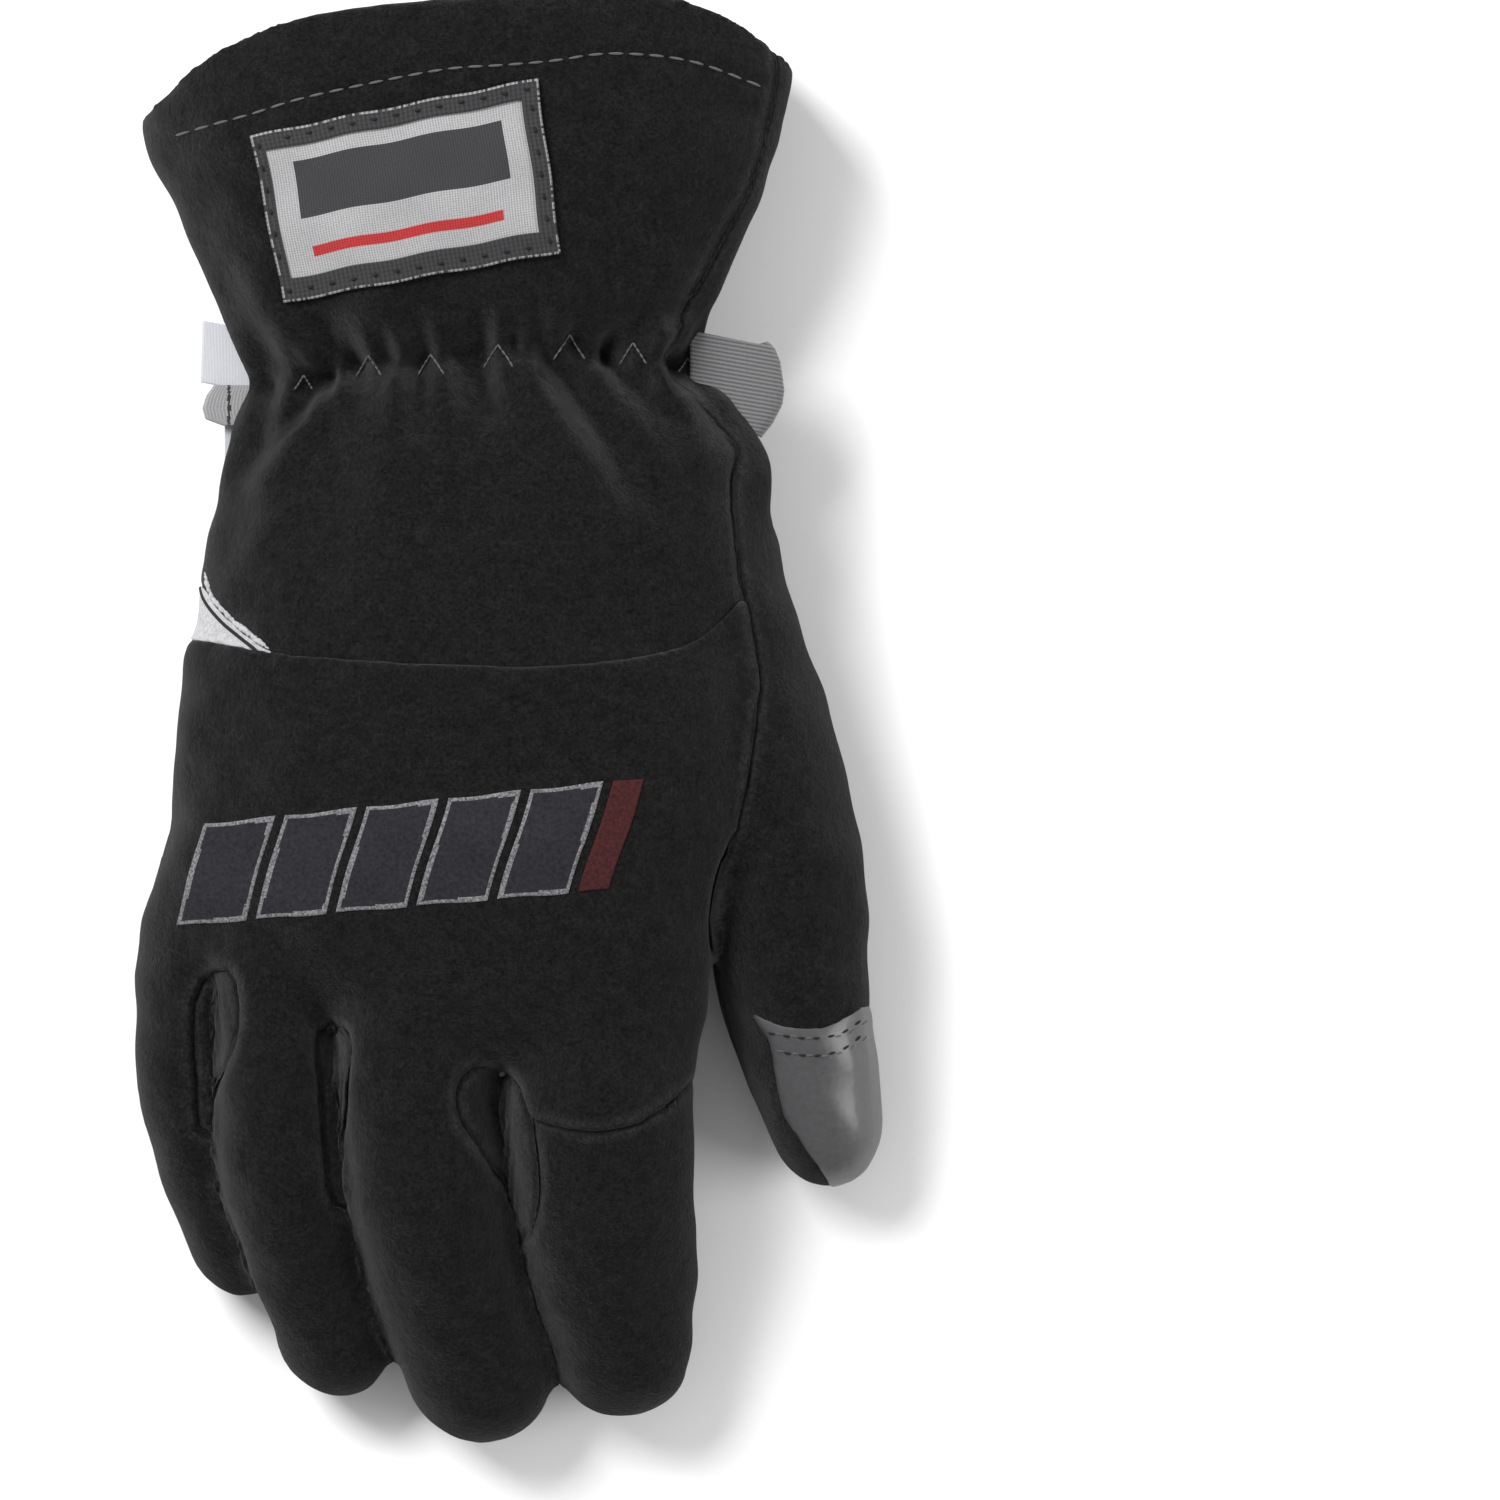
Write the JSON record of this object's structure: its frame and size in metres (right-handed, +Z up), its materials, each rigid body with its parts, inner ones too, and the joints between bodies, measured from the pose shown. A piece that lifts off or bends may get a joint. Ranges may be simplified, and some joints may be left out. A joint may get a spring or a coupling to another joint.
{
  "type": "firefighter glove",
  "caption": "Right-hand structural firefighting glove in black split leather with a gauntlet cuff, gathered wrist, knuckle panel and smooth thumb patch, lying palm down",
  "frame": {"origin": "under the middle of the glove's bounding box, on the surface that it lies on", "axes": "+Z up out of the back of the hand, fingers towards -Y, open cuff towards +Y, thumb side +X"},
  "size_m": [0.1504, 0.2904, 0.051],
  "materials": {
    "black_suede": "matt brushed nap",
    "smooth_grey_leather": "smooth satin",
    "pale_edge": "raw cut edge",
    "woven_label": "fine satin weave",
    "label_ribbon": "ribbed ribbon",
    "white_tag": "smooth woven tape",
    "grey_tag": "smooth woven tape",
    "grey_webbing": "twill webbing"
  },
  "bodies": {
    "root": {"back_panel": "black_suede", "knuckle_panel": "black_suede", "index_back": "black_suede", "palm_panel": "black_suede", "thumb_palm": "black_suede", "thumb_side": "black_suede", "gusset_little_ring": "black_suede", "gusset_ring_middle": "black_suede", "gusset_middle_index": "black_suede", "pale_strip": "pale_edge", "thumb_piping": "pale_edge", "thumb_patch": "smooth_grey_leather", "cuff_label": "woven_label", "label_border": "label_ribbon", "size_tag": "white_tag", "care_tag": "grey_tag", "pull_tab": "grey_webbing"}
  },
  "joints": []
}
